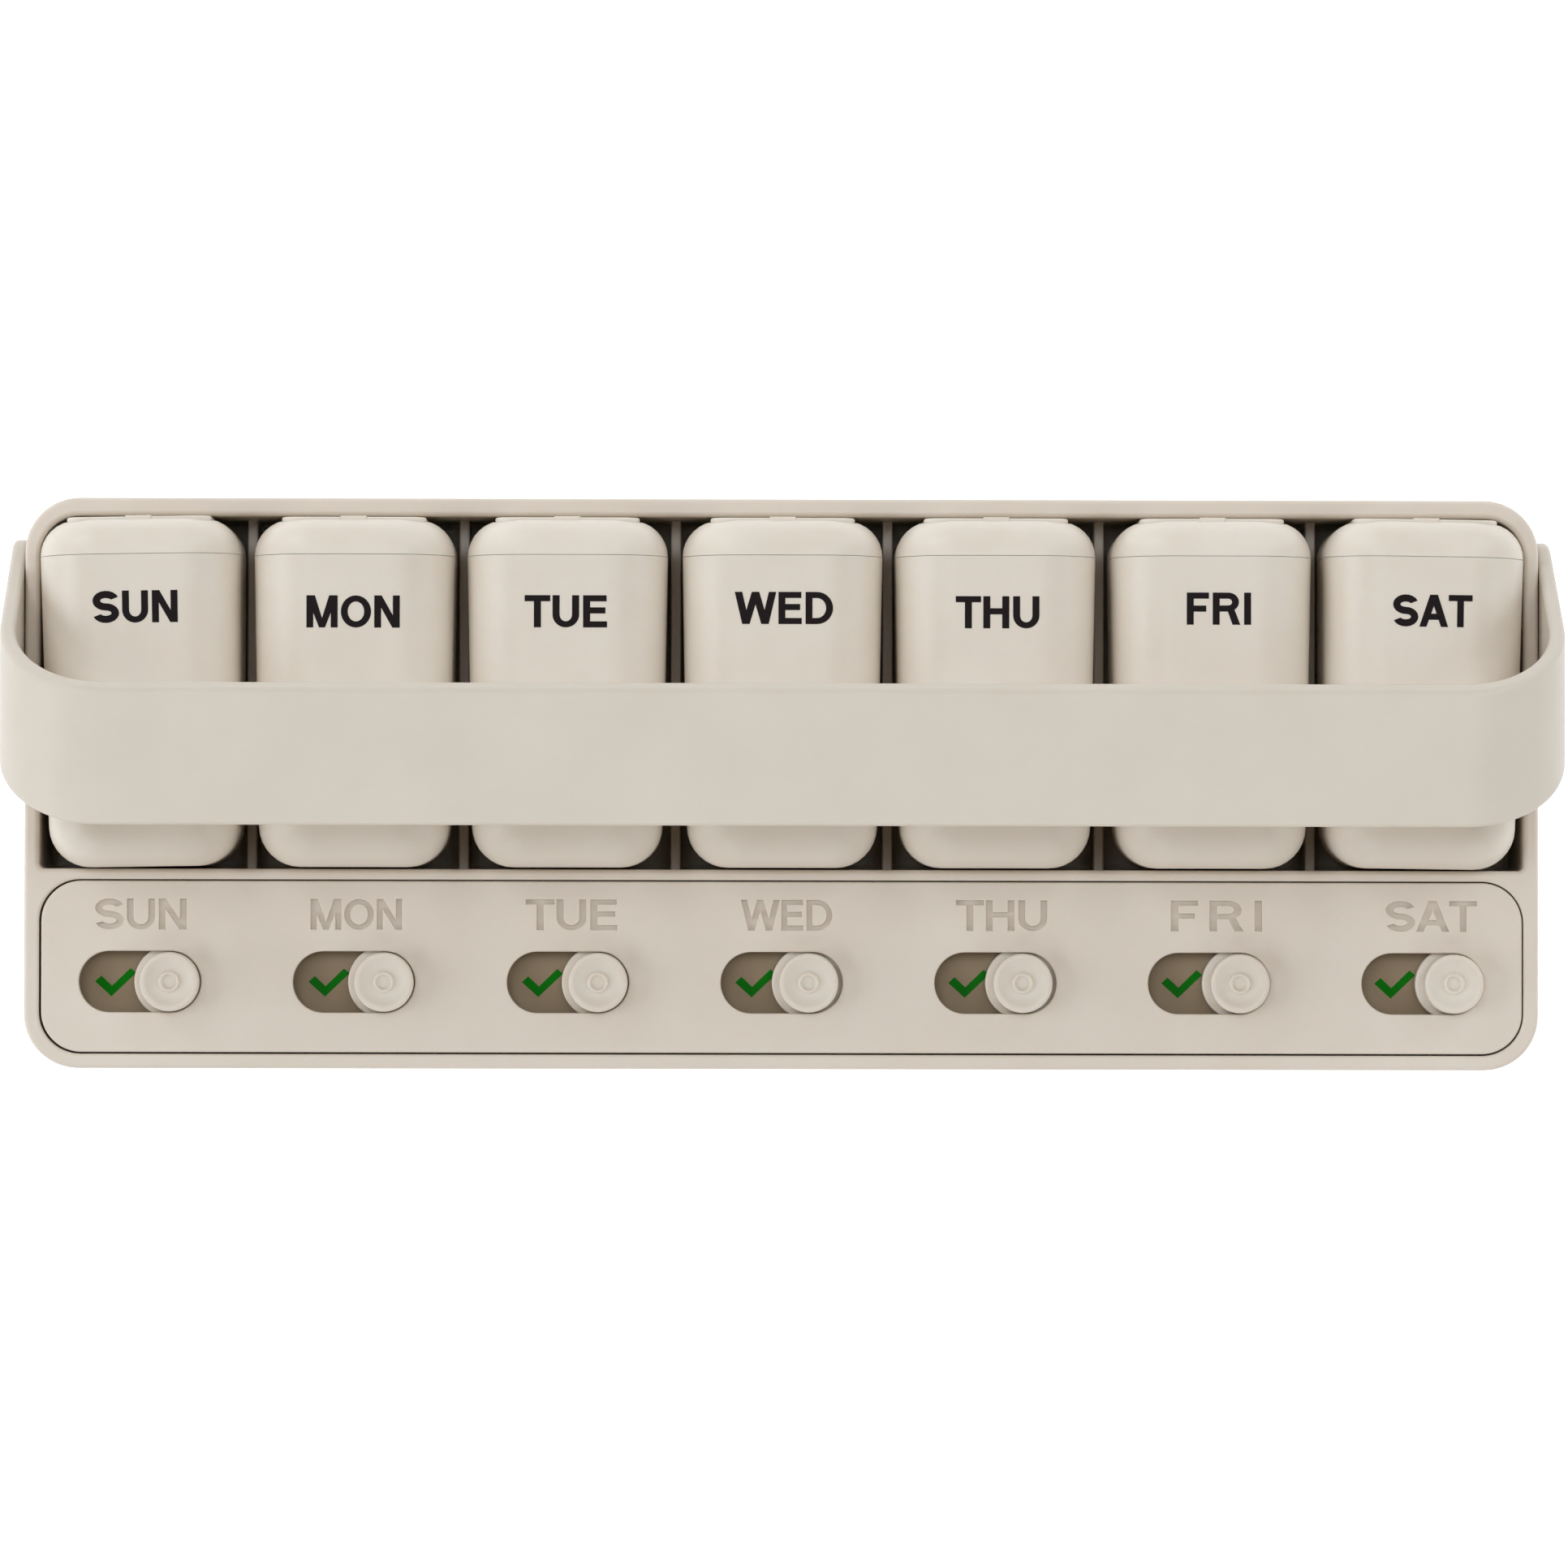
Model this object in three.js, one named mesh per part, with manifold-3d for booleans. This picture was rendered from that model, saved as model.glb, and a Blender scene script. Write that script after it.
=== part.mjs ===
// Weekly pill organiser. A flat tray holds seven pull-out pods, one for each day, a tracker
// panel with seven sliding buttons, and a bail handle that stands over the pods.
// Millimetres. X runs along the week, +Y is the pods' cap end and +Z is up from the table.

import * as THREE from 'three';
import { mergeVertices } from 'three/addons/utils/BufferGeometryUtils.js';
import Module from 'manifold-3d';

const wasm = await Module();
wasm.setup();

const DAYS = ['sun', 'mon', 'tue', 'wed', 'thu', 'fri', 'sat'];

// Pods, modelled standing on their closed end with the label face towards -Y
const POD_WIDTH = 31.65;
const POD_DEPTH = 33.5;
const POD_CORNER = 9.8;
const POD_BODY_LENGTH = 48.9;
const POD_BASE_ROUND = 6.4;
const POD_DRAFT = 0.9;
const POD_WALL = 1.3;
const PARTING_GAP = 0.2;
const CAP_LENGTH = 5.75;
const CAP_END_WALL = 2.2;
const CAP_END_ROUND = 3.2;
const SPIGOT_LENGTH = 2.5;
const SPIGOT_WALL = 1;
const SPIGOT_CLEARANCE = 0.25;

// Flip door let into the end of each cap
const DOOR_WIDTH = 22.8;
const DOOR_DEPTH = 23.4;
const DOOR_CORNER = 2.6;
const DOOR_THICKNESS = 1.2;
const DOOR_PROUD = 0.35;
const DOOR_EDGE_ROUND = 0.3;
const DOOR_CLEARANCE = 0.2;
const MOUTH_WIDTH = 17.6;
const MOUTH_DEPTH = 18;
const MOUTH_CORNER = 3;
const DOOR_LIP_DEPTH = 1.2;
const DOOR_LIP_WALL = 1;
const THUMB_LIP_WIDTH = 4.2;
const THUMB_LIP_REACH = 0.5;
const THUMB_LIP_RISE = 0.15;
const THUMB_LIP_OVERLAP = 1;
const THUMB_LIP_UNDERCUT = 0.12;
const THUMB_LIP_CORNER = 0.45;

// Tray
const DIVIDER = 1.6;
const DIVIDER_DROP = 12.5;
const POD_SIDE_CLEARANCE = 0.3;
const BAY_END_CLEARANCE = 0.15;
const POD_FOOT_CLEARANCE = 0.3;
const POD_DOOR_CLEARANCE = 0.6;
const POD_FLOOR_CLEARANCE = 0.3;
const TRAY_HEIGHT = 26;
const TRAY_CORNER = 8.6;
const TRAY_FLOOR = 2.5;
const TRAY_TAPER = 0.3;
const TRAY_BASE_ROUND = 1.4;
const TRAY_RIM_ROUND = 0.7;
const SIDE_WALL = 2.39;
const REAR_WALL = 2.65;
const FRONT_WALL = 2.3;
const CROSSBAR = 1.7;
const BAY_RIM_ROUND = 0.5;
const BAY_FRONT_CORNER = 0.9;
const BAY_FLOOR_ROUND = 1.2;
const WELL_LEDGE = 1.6;

// Tracker panel and the tick plate below it
const PANEL_WIDTH = 27.2;
const PANEL_CORNER = 6.4;
const PANEL_GAP = 0.2;
const PANEL_DROP = 0.2;
const PANEL_THICKNESS = 1.3;
const PANEL_SKIRT = 1.2;
const PANEL_EDGE_ROUND = 0.35;
const SLOT_LENGTH = 19.3;
const SLOT_WIDTH = 9.7;
const SLOT_TO_FRONT = 11.2;
const SLOT_EDGE_ROUND = 0.25;
const TICK_PLATE_THICKNESS = 1.6;
const SEAT_GAP = 0.2;

// Sliding buttons, each held down by a flange that runs under the panel
const BUTTON_RADIUS = 4.68;
const BUTTON_RISE = 2.9;
const BUTTON_EDGE_ROUND = 0.45;
const BUTTON_RIM = 0.75;
const BUTTON_DISH = 0.55;
const BUTTON_RING_RADIUS = 1.5;
const BUTTON_RING_HALF_WIDTH = 0.26;
const BUTTON_RING_RISE = 0.22;
const FLANGE_RADIUS = 5.8;
const FLANGE_THICKNESS = 1.8;
const FLANGE_CLEARANCE = 0.25;
// How far two of the buttons stand short of the right-hand end of their slots
const BUTTON_SHORTFALL = { wed: 0.55, thu: 0.55 };

// Bail handle, modelled about its pivot. Its legs rake forwards from pivots behind the
// tray's middle, so that the level band stands over the tray's centre of mass
const HANDLE_GAP = 0.15;
const HANDLE_THICKNESS = 2.45;
const HANDLE_RISE = 30.3;
const HANDLE_BEND = 17;
const HANDLE_RAKE_DEGREES = 33.4;
const BAND_WIDTH = 21.2;
const HANDLE_EDGE_ROUND = 0.8;
const PIVOT_FROM_REAR = 15.1;
const PIVOT_BELOW_RIM = 10.4;
const STUD_RADIUS = 3.4;
const STUD_CLEARANCE = 0.15;
const STUD_SHORT_OF_POCKET = 0.15;

// The pods stand a little askew or off the middle in their pockets
const POD_TURN_DEGREES = { sun: 0.95, sat: -0.7 };
const POD_SHIFT = { tue: -0.15, thu: -0.12, fri: 0.18 };

// Overrun of every cut past the face that it opens, the least corner radius and facet counts
const OVERRUN = 1;
const SHARPEST_CORNER = 0.45;
const CORNER_STEPS = 5;
const POD_CORNER_STEPS = 4;
const SMALL_CORNER_STEPS = 2;
const ROUND_STEPS = 3;
const EDGE_STEPS = 2;
const BUTTON_SIDES = 20;
const STUD_SIDES = 24;
const BEND_STEPS = 8;
const END_STEPS = 7;

// Sizes that follow from the ones above
const podPitch = POD_WIDTH + 2 * POD_SIDE_CLEARANCE + DIVIDER;
const podHeight = POD_BODY_LENGTH + PARTING_GAP + CAP_LENGTH;
const podReach = podHeight + DOOR_PROUD;
const bayLength = (DAYS.length - 1) * podPitch + POD_WIDTH + 2 * BAY_END_CLEARANCE;
const podBayWidth = podReach + POD_FOOT_CLEARANCE + POD_DOOR_CLEARANCE;
const panelBayWidth = PANEL_WIDTH + 2 * PANEL_GAP;
const panelLength = bayLength - 2 * PANEL_GAP;
const trayLength = bayLength + 2 * SIDE_WALL;
const trayWidth = FRONT_WALL + panelBayWidth + CROSSBAR + podBayWidth + REAR_WALL;
const rearInside = trayWidth / 2 - REAR_WALL;
const podBayFront = rearInside - podBayWidth;
const panelBayFront = FRONT_WALL - trayWidth / 2;
const panelCentreY = panelBayFront + panelBayWidth / 2;
const panelTop = TRAY_HEIGHT - PANEL_DROP;
const panelUnderside = panelTop - PANEL_THICKNESS;
const flangeTop = panelUnderside - FLANGE_CLEARANCE;
const flangeUnderside = flangeTop - FLANGE_THICKNESS;
const tickPlateTop = flangeUnderside - FLANGE_CLEARANCE;
const tickPlateUnderside = tickPlateTop - TICK_PLATE_THICKNESS;
const wellTop = tickPlateUnderside - SEAT_GAP;
const podAxisHeight = TRAY_FLOOR + POD_FLOOR_CLEARANCE + POD_DEPTH / 2;
const slotCentreY = panelBayFront + PANEL_GAP + SLOT_TO_FRONT;
const buttonTop = panelTop + BUTTON_RISE;
const pivotY = trayWidth / 2 - PIVOT_FROM_REAR;
const pivotZ = TRAY_HEIGHT - PIVOT_BELOW_RIM;
const dayIndex = (day) => DAYS.indexOf(day) - (DAYS.length - 1) / 2;

// Solids and meshes

function solidFrom(geometry) {
  const bare = geometry.clone();
  bare.deleteAttribute('normal');
  bare.deleteAttribute('uv');
  const welded = mergeVertices(bare);
  const vertProperties = new Float32Array(welded.attributes.position.array);
  const triVerts = new Uint32Array(welded.index.array);
  return new wasm.Manifold(new wasm.Mesh({ numProp: 3, vertProperties, triVerts }));
}

function meshFrom(name, solid, finish) {
  const { vertProperties, triVerts } = solid.getMesh();
  const geometry = new THREE.BufferGeometry();
  geometry.setAttribute('position', new THREE.BufferAttribute(vertProperties, 3));
  geometry.setIndex(new THREE.BufferAttribute(triVerts, 1));
  geometry.computeVertexNormals();
  const mesh = new THREE.Mesh(geometry, new THREE.MeshStandardMaterial(finish));
  mesh.name = name;
  return mesh;
}

const joined = (solids) => solids.reduce((whole, next) => whole.add(next));

// A closed skin over rings of points, each ring anticlockwise about the way the rings advance
function loft(rings) {
  const count = rings[0].length;
  const last = (rings.length - 1) * count;
  const positions = rings.flat().flatMap((point) => point.toArray());
  const faces = [];
  for (let level = 0; level < rings.length - 1; level += 1) {
    for (let side = 0; side < count; side += 1) {
      const here = level * count + side;
      const next = level * count + (side + 1) % count;
      faces.push(here, next, next + count);
      faces.push(here, next + count, here + count);
    }
  }
  for (let corner = 1; corner < count - 1; corner += 1) {
    faces.push(0, corner + 1, corner);
    faces.push(last, last + corner, last + corner + 1);
  }
  const geometry = new THREE.BufferGeometry();
  geometry.setAttribute('position', new THREE.Float32BufferAttribute(positions, 3));
  geometry.setIndex(faces);
  return solidFrom(geometry);
}

// A rectangle's plan with a radius for each corner, from the right rear corner anticlockwise
function plan(length, width, radius, { frontRadius = radius, steps = CORNER_STEPS } = {}) {
  return { length, width, radii: [radius, radius, frontRadius, frontRadius], steps };
}

function insetPlan(shape, inset) {
  return {
    length: shape.length - 2 * inset,
    width: shape.width - 2 * inset,
    radii: shape.radii.map((radius) => radius - inset),
    steps: shape.steps,
  };
}

// The plan's outline at a height, drawn in by an inset
function ringOf({ length, width, radii, steps }, height, inset) {
  const sides = [[1, 1], [-1, 1], [-1, -1], [1, -1]];
  return sides.flatMap(([sideX, sideY], quarter) => {
    const radius = Math.max(radii[quarter] - inset, SHARPEST_CORNER);
    return Array.from({ length: steps + 1 }, (_, step) => {
      const angle = (quarter + step / steps) * Math.PI / 2;
      const x = sideX * (length / 2 - inset - radius) + radius * Math.cos(angle);
      const y = sideY * (width / 2 - inset - radius) + radius * Math.sin(angle);
      return new THREE.Vector3(x, y, height);
    });
  });
}

// Heights and insets of the quarter round that ends a block, from its flat end inwards
function quarterRound(radius, steps) {
  if (radius === 0) return [[0, 0]];
  return Array.from({ length: steps + 1 }, (_, step) => {
    const turn = step / steps * Math.PI / 2;
    return [radius * (1 - Math.cos(turn)), radius * (1 - Math.sin(turn))];
  });
}

// A block over a plan, with rounded ends and a taper that draws it in towards its low end
function block(shape, { low, high, lowRound = 0, highRound = 0, taper = 0, steps = EDGE_STEPS }) {
  const levels = [
    ...quarterRound(lowRound, steps).map(([rise, inset]) => [low + rise, inset]),
    ...quarterRound(highRound, steps).reverse().map(([rise, inset]) => [high - rise, inset]),
  ];
  const drawnIn = (height) => taper * (high - height) / (high - low);
  return loft(levels.map(([height, inset]) => ringOf(shape, height, inset + drawnIn(height))));
}

// The space to cut away for a hole whose top edge is rounded over outwards
function flaredCut(shape, { low, high, lowRound = 0, flare, steps = EDGE_STEPS }) {
  const levels = [
    ...quarterRound(lowRound, steps).map(([rise, inset]) => [low + rise, inset]),
    ...quarterRound(flare, steps).map(([rise, inset]) => [high - inset, -rise]),
    [high + OVERRUN, -flare],
  ];
  return loft(levels.map(([height, inset]) => ringOf(shape, height, inset)));
}

function sideCylinder(radius, length, x, y, z) {
  const geometry = new THREE.CylinderGeometry(radius, radius, length, STUD_SIDES);
  geometry.rotateZ(Math.PI / 2);
  geometry.translate(x, y, z);
  return solidFrom(geometry);
}

// Tray

function makeTray() {
  const outside = block(plan(trayLength, trayWidth, TRAY_CORNER), {
    low: 0,
    high: TRAY_HEIGHT,
    lowRound: TRAY_BASE_ROUND,
    highRound: TRAY_RIM_ROUND,
    taper: TRAY_TAPER,
    steps: EDGE_STEPS,
  });

  const podBayPlan = plan(bayLength, podBayWidth, TRAY_CORNER - SIDE_WALL, {
    frontRadius: BAY_FRONT_CORNER,
  });
  const podBay = flaredCut(podBayPlan, {
    low: TRAY_FLOOR,
    high: TRAY_HEIGHT,
    lowRound: BAY_FLOOR_ROUND,
    flare: BAY_RIM_ROUND,
  }).translate([0, podBayFront + podBayWidth / 2, 0]);

  const panelBayPlan = plan(bayLength, panelBayWidth, PANEL_CORNER + PANEL_GAP);
  const panelBay = flaredCut(panelBayPlan, {
    low: wellTop,
    high: TRAY_HEIGHT,
    flare: BAY_RIM_ROUND,
  });
  const well = block(insetPlan(panelBayPlan, WELL_LEDGE), {
    low: TRAY_FLOOR,
    high: wellTop + OVERRUN,
    lowRound: BAY_FLOOR_ROUND,
  });
  const trackerSpace = panelBay.add(well).translate([0, panelCentreY, 0]);

  const pivotHoles = [-1, 1].map((side) => sideCylinder(
    STUD_RADIUS + STUD_CLEARANCE,
    SIDE_WALL + 2 * OVERRUN,
    side * (trayLength - SIDE_WALL) / 2,
    pivotY,
    pivotZ,
  ));

  return meshFrom(
    'tray',
    outside.subtract(joined([
      podBay.subtract(dividers(podBayFront, podBayWidth, TRAY_HEIGHT - DIVIDER_DROP)),
      trackerSpace.subtract(dividers(panelBayFront, panelBayWidth, wellTop)),
      ...pivotHoles,
    ])),
    { color: 0xd1cbbf, roughness: 0.5, metalness: 0 },
  );
}

// The walls between the days, from the tray's floor up to a height, across one bay
function dividers(front, width, top) {
  const walls = DAYS.slice(1).map((day) => {
    const geometry = new THREE.BoxGeometry(DIVIDER, width + 2 * OVERRUN, top);
    geometry.translate((dayIndex(day) - 1 / 2) * podPitch, front + width / 2, top / 2);
    return solidFrom(geometry);
  });
  return joined(walls);
}

// Tracker panel, its tick plate and its buttons

const slotX = (day) => dayIndex(day) * podPitch;

function makePanel() {
  const outline = plan(panelLength, PANEL_WIDTH, PANEL_CORNER);
  const skirtFoot = tickPlateTop + SEAT_GAP;
  const plate = block(outline, {
    low: skirtFoot,
    high: panelTop,
    highRound: PANEL_EDGE_ROUND,
  });
  const hollow = block(insetPlan(outline, PANEL_SKIRT), {
    low: skirtFoot - OVERRUN,
    high: panelUnderside,
  });
  const slots = DAYS.map((day) => flaredCut(plan(SLOT_LENGTH, SLOT_WIDTH, SLOT_WIDTH / 2), {
    low: panelUnderside - OVERRUN,
    high: panelTop,
    flare: SLOT_EDGE_ROUND,
    steps: 1,
  }).translate([slotX(day), slotCentreY - panelCentreY, 0]));
  const mesh = meshFrom(
    'tracker_panel',
    plate.subtract(joined([hollow, ...slots])),
    { color: 0xcfc8bb, roughness: 0.5, metalness: 0 },
  );
  mesh.position.y = panelCentreY;
  return mesh;
}

function makeTickPlate() {
  const plate = block(plan(panelLength, PANEL_WIDTH, PANEL_CORNER), {
    low: tickPlateUnderside,
    high: tickPlateTop,
  });
  const mesh = meshFrom('tick_plate', plate, { color: 0xc9c1b3, roughness: 0.6, metalness: 0 });
  mesh.position.y = panelCentreY;
  return mesh;
}

function makeButton(day) {
  const ringOuter = BUTTON_RING_RADIUS + BUTTON_RING_HALF_WIDTH;
  const ringInner = BUTTON_RING_RADIUS - BUTTON_RING_HALF_WIDTH;
  const dishEdge = BUTTON_RADIUS - BUTTON_RIM;
  const dishFloor = buttonTop - BUTTON_DISH;
  const outline = [
    [0, flangeUnderside],
    [FLANGE_RADIUS, flangeUnderside],
    [FLANGE_RADIUS, flangeTop],
    [BUTTON_RADIUS, flangeTop],
    ...quarterRound(BUTTON_EDGE_ROUND, EDGE_STEPS).reverse()
      .map(([drop, inset]) => [BUTTON_RADIUS - inset, buttonTop - drop]),
    [dishEdge, buttonTop],
    [ringOuter, dishFloor],
    [BUTTON_RING_RADIUS, dishFloor + BUTTON_RING_RISE],
    [ringInner, dishFloor],
    [0, dishFloor],
  ];
  const points = outline.map(([radius, height]) => new THREE.Vector2(radius, height));
  const geometry = new THREE.LatheGeometry(points, BUTTON_SIDES);
  geometry.rotateX(Math.PI / 2);
  const mesh = meshFrom(
    `button_${day}`,
    solidFrom(geometry),
    { color: 0xd9d3c8, roughness: 0.45, metalness: 0 },
  );
  const rightEnd = slotX(day) + (SLOT_LENGTH - SLOT_WIDTH) / 2;
  mesh.position.set(rightEnd - (BUTTON_SHORTFALL[day] ?? 0), slotCentreY, 0);
  return mesh;
}

// Pods: a drawn cup, a domed cap plugged into its mouth, and a flip door in the cap's end

const podPlan = plan(POD_WIDTH, POD_DEPTH, POD_CORNER, { steps: POD_CORNER_STEPS });

function makePodBody(day) {
  const cup = block(podPlan, {
    low: 0,
    high: POD_BODY_LENGTH,
    lowRound: POD_BASE_ROUND,
    taper: POD_DRAFT,
    steps: ROUND_STEPS,
  });
  const inside = block(insetPlan(podPlan, POD_WALL), {
    low: POD_WALL,
    high: POD_BODY_LENGTH + OVERRUN,
    lowRound: POD_BASE_ROUND - POD_WALL,
    taper: POD_DRAFT,
    steps: ROUND_STEPS,
  });
  return meshFrom(
    `pod_body_${day}`,
    cup.subtract(inside),
    { color: 0xd2ccc1, roughness: 0.42, metalness: 0 },
  );
}

const capFoot = POD_BODY_LENGTH + PARTING_GAP;
const spigotFoot = capFoot - SPIGOT_LENGTH;
const doorSeat = podHeight + DOOR_PROUD - DOOR_THICKNESS;
const smallCorners = { steps: SMALL_CORNER_STEPS };
const mouthPlan = plan(MOUTH_WIDTH, MOUTH_DEPTH, MOUTH_CORNER, smallCorners);

function makePodCap(day) {
  const spigotInset = POD_WALL + SPIGOT_CLEARANCE;
  const dome = block(podPlan, {
    low: capFoot,
    high: podHeight,
    highRound: CAP_LENGTH,
    steps: ROUND_STEPS,
  });
  const spigot = block(insetPlan(podPlan, spigotInset), {
    low: spigotFoot,
    high: capFoot + SPIGOT_WALL,
  });
  const inside = block(insetPlan(podPlan, spigotInset + SPIGOT_WALL), {
    low: spigotFoot - OVERRUN,
    high: podHeight - CAP_END_WALL,
    highRound: CAP_END_ROUND,
  });
  const mouth = block(mouthPlan, { low: capFoot, high: podHeight + OVERRUN });
  const doorRecess = block(plan(
    DOOR_WIDTH + 2 * DOOR_CLEARANCE,
    DOOR_DEPTH + 2 * DOOR_CLEARANCE,
    DOOR_CORNER + DOOR_CLEARANCE,
    smallCorners,
  ), { low: doorSeat - DOOR_CLEARANCE, high: podHeight + OVERRUN });
  return meshFrom(
    `pod_cap_${day}`,
    dome.add(spigot).subtract(joined([inside, mouth, doorRecess])),
    { color: 0xd4cec3, roughness: 0.42, metalness: 0 },
  );
}

function makePodDoor(day) {
  const lipFoot = doorSeat - DOOR_LIP_DEPTH;
  const plate = block(plan(DOOR_WIDTH, DOOR_DEPTH, DOOR_CORNER, smallCorners), {
    low: doorSeat,
    high: podReach,
    highRound: DOOR_EDGE_ROUND,
  });
  const lip = block(insetPlan(mouthPlan, DOOR_CLEARANCE), { low: lipFoot, high: doorSeat + DOOR_EDGE_ROUND });
  const lipHollow = block(insetPlan(mouthPlan, DOOR_CLEARANCE + DOOR_LIP_WALL), {
    low: lipFoot - OVERRUN,
    high: doorSeat,
  });
  const thumbLip = block(plan(
    THUMB_LIP_WIDTH,
    THUMB_LIP_REACH + THUMB_LIP_OVERLAP,
    THUMB_LIP_CORNER,
    smallCorners,
  ), {
    low: podHeight + THUMB_LIP_UNDERCUT,
    high: podReach + THUMB_LIP_RISE,
    highRound: THUMB_LIP_RISE,
  }).translate([0, (THUMB_LIP_OVERLAP - THUMB_LIP_REACH - DOOR_DEPTH) / 2, 0]);
  return meshFrom(
    `pod_door_${day}`,
    joined([plate, lip.subtract(lipHollow), thumbLip]),
    { color: 0xd6d0c5, roughness: 0.42, metalness: 0 },
  );
}

// A pod laid on its back in its pocket, turned about the middle of its mouth
function makePod(day) {
  const laidDown = new THREE.Group();
  laidDown.add(makePodBody(day), makePodCap(day), makePodDoor(day));
  laidDown.rotation.x = -Math.PI / 2;
  laidDown.position.y = -POD_BODY_LENGTH;

  const pocket = new THREE.Group();
  pocket.add(laidDown);
  const mouthY = podBayFront + POD_FOOT_CLEARANCE + POD_BODY_LENGTH;
  pocket.position.set(dayIndex(day) * podPitch + (POD_SHIFT[day] ?? 0), mouthY, podAxisHeight);
  pocket.rotation.z = THREE.MathUtils.degToRad(POD_TURN_DEGREES[day] ?? 0);
  return pocket;
}

// Bail handle: one flat band bent to a U, raked in side view, with a stud on each leg

const rake = THREE.MathUtils.degToRad(HANDLE_RAKE_DEGREES);
const legEndRadius = BAND_WIDTH * Math.cos(rake) / 2;

// Front and rear edge of the raked leg at a height over the pivot, with its end round the pivot
function legEdges(height) {
  const halfWidth = legEndRadius / Math.cos(rake);
  const centre = -height * Math.tan(rake);
  const tangent = legEndRadius * Math.sin(rake);
  const round = Math.sqrt(Math.max(legEndRadius ** 2 - height ** 2, 0));
  const front = height > -tangent ? centre - halfWidth : -round;
  const rear = height > tangent ? centre + halfWidth : round;
  return [front, rear];
}

// The band's section at one station of the U: outward is the way that its outer face looks
function handleSection({ x, z, outX, outZ, half }) {
  const sides = [[1, 1], [-1, 1], [-1, -1], [1, -1]];
  return sides.flatMap(([sideY, sideOut], quarter) => (
    Array.from({ length: EDGE_STEPS + 1 }, (_, step) => {
      const angle = (quarter + step / EDGE_STEPS) * Math.PI / 2;
      const edgeRound = Math.min(HANDLE_EDGE_ROUND, half);
      const outward = sideOut * (half - edgeRound) + edgeRound * Math.sin(angle);
      const height = z + outZ * outward;
      const [front, rear] = legEdges(height);
      const round = Math.min(edgeRound, (rear - front) / 2);
      const inset = round * (1 - Math.abs(Math.cos(angle)));
      const y = sideY > 0 ? rear - inset : front + inset;
      return new THREE.Vector3(x + outX * outward, y, height);
    })
  ));
}

function makeHandle() {
  const half = HANDLE_THICKNESS / 2;
  const legX = trayLength / 2 + HANDLE_GAP + half;
  const bandZ = HANDLE_RISE + PIVOT_BELOW_RIM - half;
  const bendRadius = HANDLE_BEND - half;
  const bendX = legX - bendRadius;
  const bendZ = bandZ - bendRadius;

  // The right half's stations, round the bend and down the leg to its rounded end
  const bend = Array.from({ length: BEND_STEPS + 1 }, (_, step) => {
    const angle = (1 - step / BEND_STEPS) * Math.PI / 2;
    const [outX, outZ] = [Math.cos(angle), Math.sin(angle)];
    return { x: bendX + bendRadius * outX, z: bendZ + bendRadius * outZ, outX, outZ, half };
  });
  const legEnd = Array.from({ length: END_STEPS + 1 }, (_, step) => {
    const angle = rake - step / (END_STEPS + 1 / 2) * (Math.PI / 2 + rake);
    const z = legEndRadius * Math.sin(angle);
    const toTip = z + legEndRadius;
    const intoRound = Math.max(HANDLE_EDGE_ROUND - toTip, 0);
    const drawnIn = HANDLE_EDGE_ROUND - Math.sqrt(HANDLE_EDGE_ROUND ** 2 - intoRound ** 2);
    return { x: legX, z, outX: 1, outZ: 0, half: half - drawnIn };
  });
  const rightHalf = [...bend, ...legEnd];
  const leftHalf = rightHalf.map((place) => ({ ...place, x: -place.x, outX: -place.outX })).reverse();
  const band = loft([...leftHalf, ...rightHalf].map(handleSection));

  const studEnd = trayLength / 2 - SIDE_WALL + STUD_SHORT_OF_POCKET;
  const studs = [-1, 1].map((side) => (
    sideCylinder(STUD_RADIUS, legX - studEnd, side * (legX + studEnd) / 2, 0, 0)
  ));
  const mesh = meshFrom(
    'handle',
    joined([band, ...studs]),
    { color: 0xd1cbc0, roughness: 0.45, metalness: 0 },
  );
  mesh.position.set(0, pivotY, pivotZ);
  return mesh;
}

const organizer = new THREE.Group();
organizer.add(makeTray(), makeTickPlate(), makePanel(), makeHandle());
DAYS.forEach((day) => organizer.add(makeButton(day), makePod(day)));

export default organizer;
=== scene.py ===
"""Weekly pill organiser: moulded tray, seven lift-out pods, a tracker panel and a bail handle.

Metres. X runs along the week, +Y is the pods' cap end and +Z is up from the table.
"""

import math

import bmesh
import bpy
from mathutils import Matrix, Vector


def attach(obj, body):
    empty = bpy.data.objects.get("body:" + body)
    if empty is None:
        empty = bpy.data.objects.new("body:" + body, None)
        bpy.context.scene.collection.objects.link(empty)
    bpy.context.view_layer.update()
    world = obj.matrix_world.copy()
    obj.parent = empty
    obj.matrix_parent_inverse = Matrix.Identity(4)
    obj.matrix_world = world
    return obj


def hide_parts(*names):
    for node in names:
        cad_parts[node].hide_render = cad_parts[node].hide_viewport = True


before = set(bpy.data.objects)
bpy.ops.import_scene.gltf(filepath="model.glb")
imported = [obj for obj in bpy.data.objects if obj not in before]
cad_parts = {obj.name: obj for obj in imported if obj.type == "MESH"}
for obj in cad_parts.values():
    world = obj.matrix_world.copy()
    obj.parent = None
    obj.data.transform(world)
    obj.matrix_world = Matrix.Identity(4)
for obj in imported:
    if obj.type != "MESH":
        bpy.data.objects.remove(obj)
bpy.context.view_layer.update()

MM = 0.001
DAYS = ["sun", "mon", "tue", "wed", "thu", "fri", "sat"]

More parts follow.
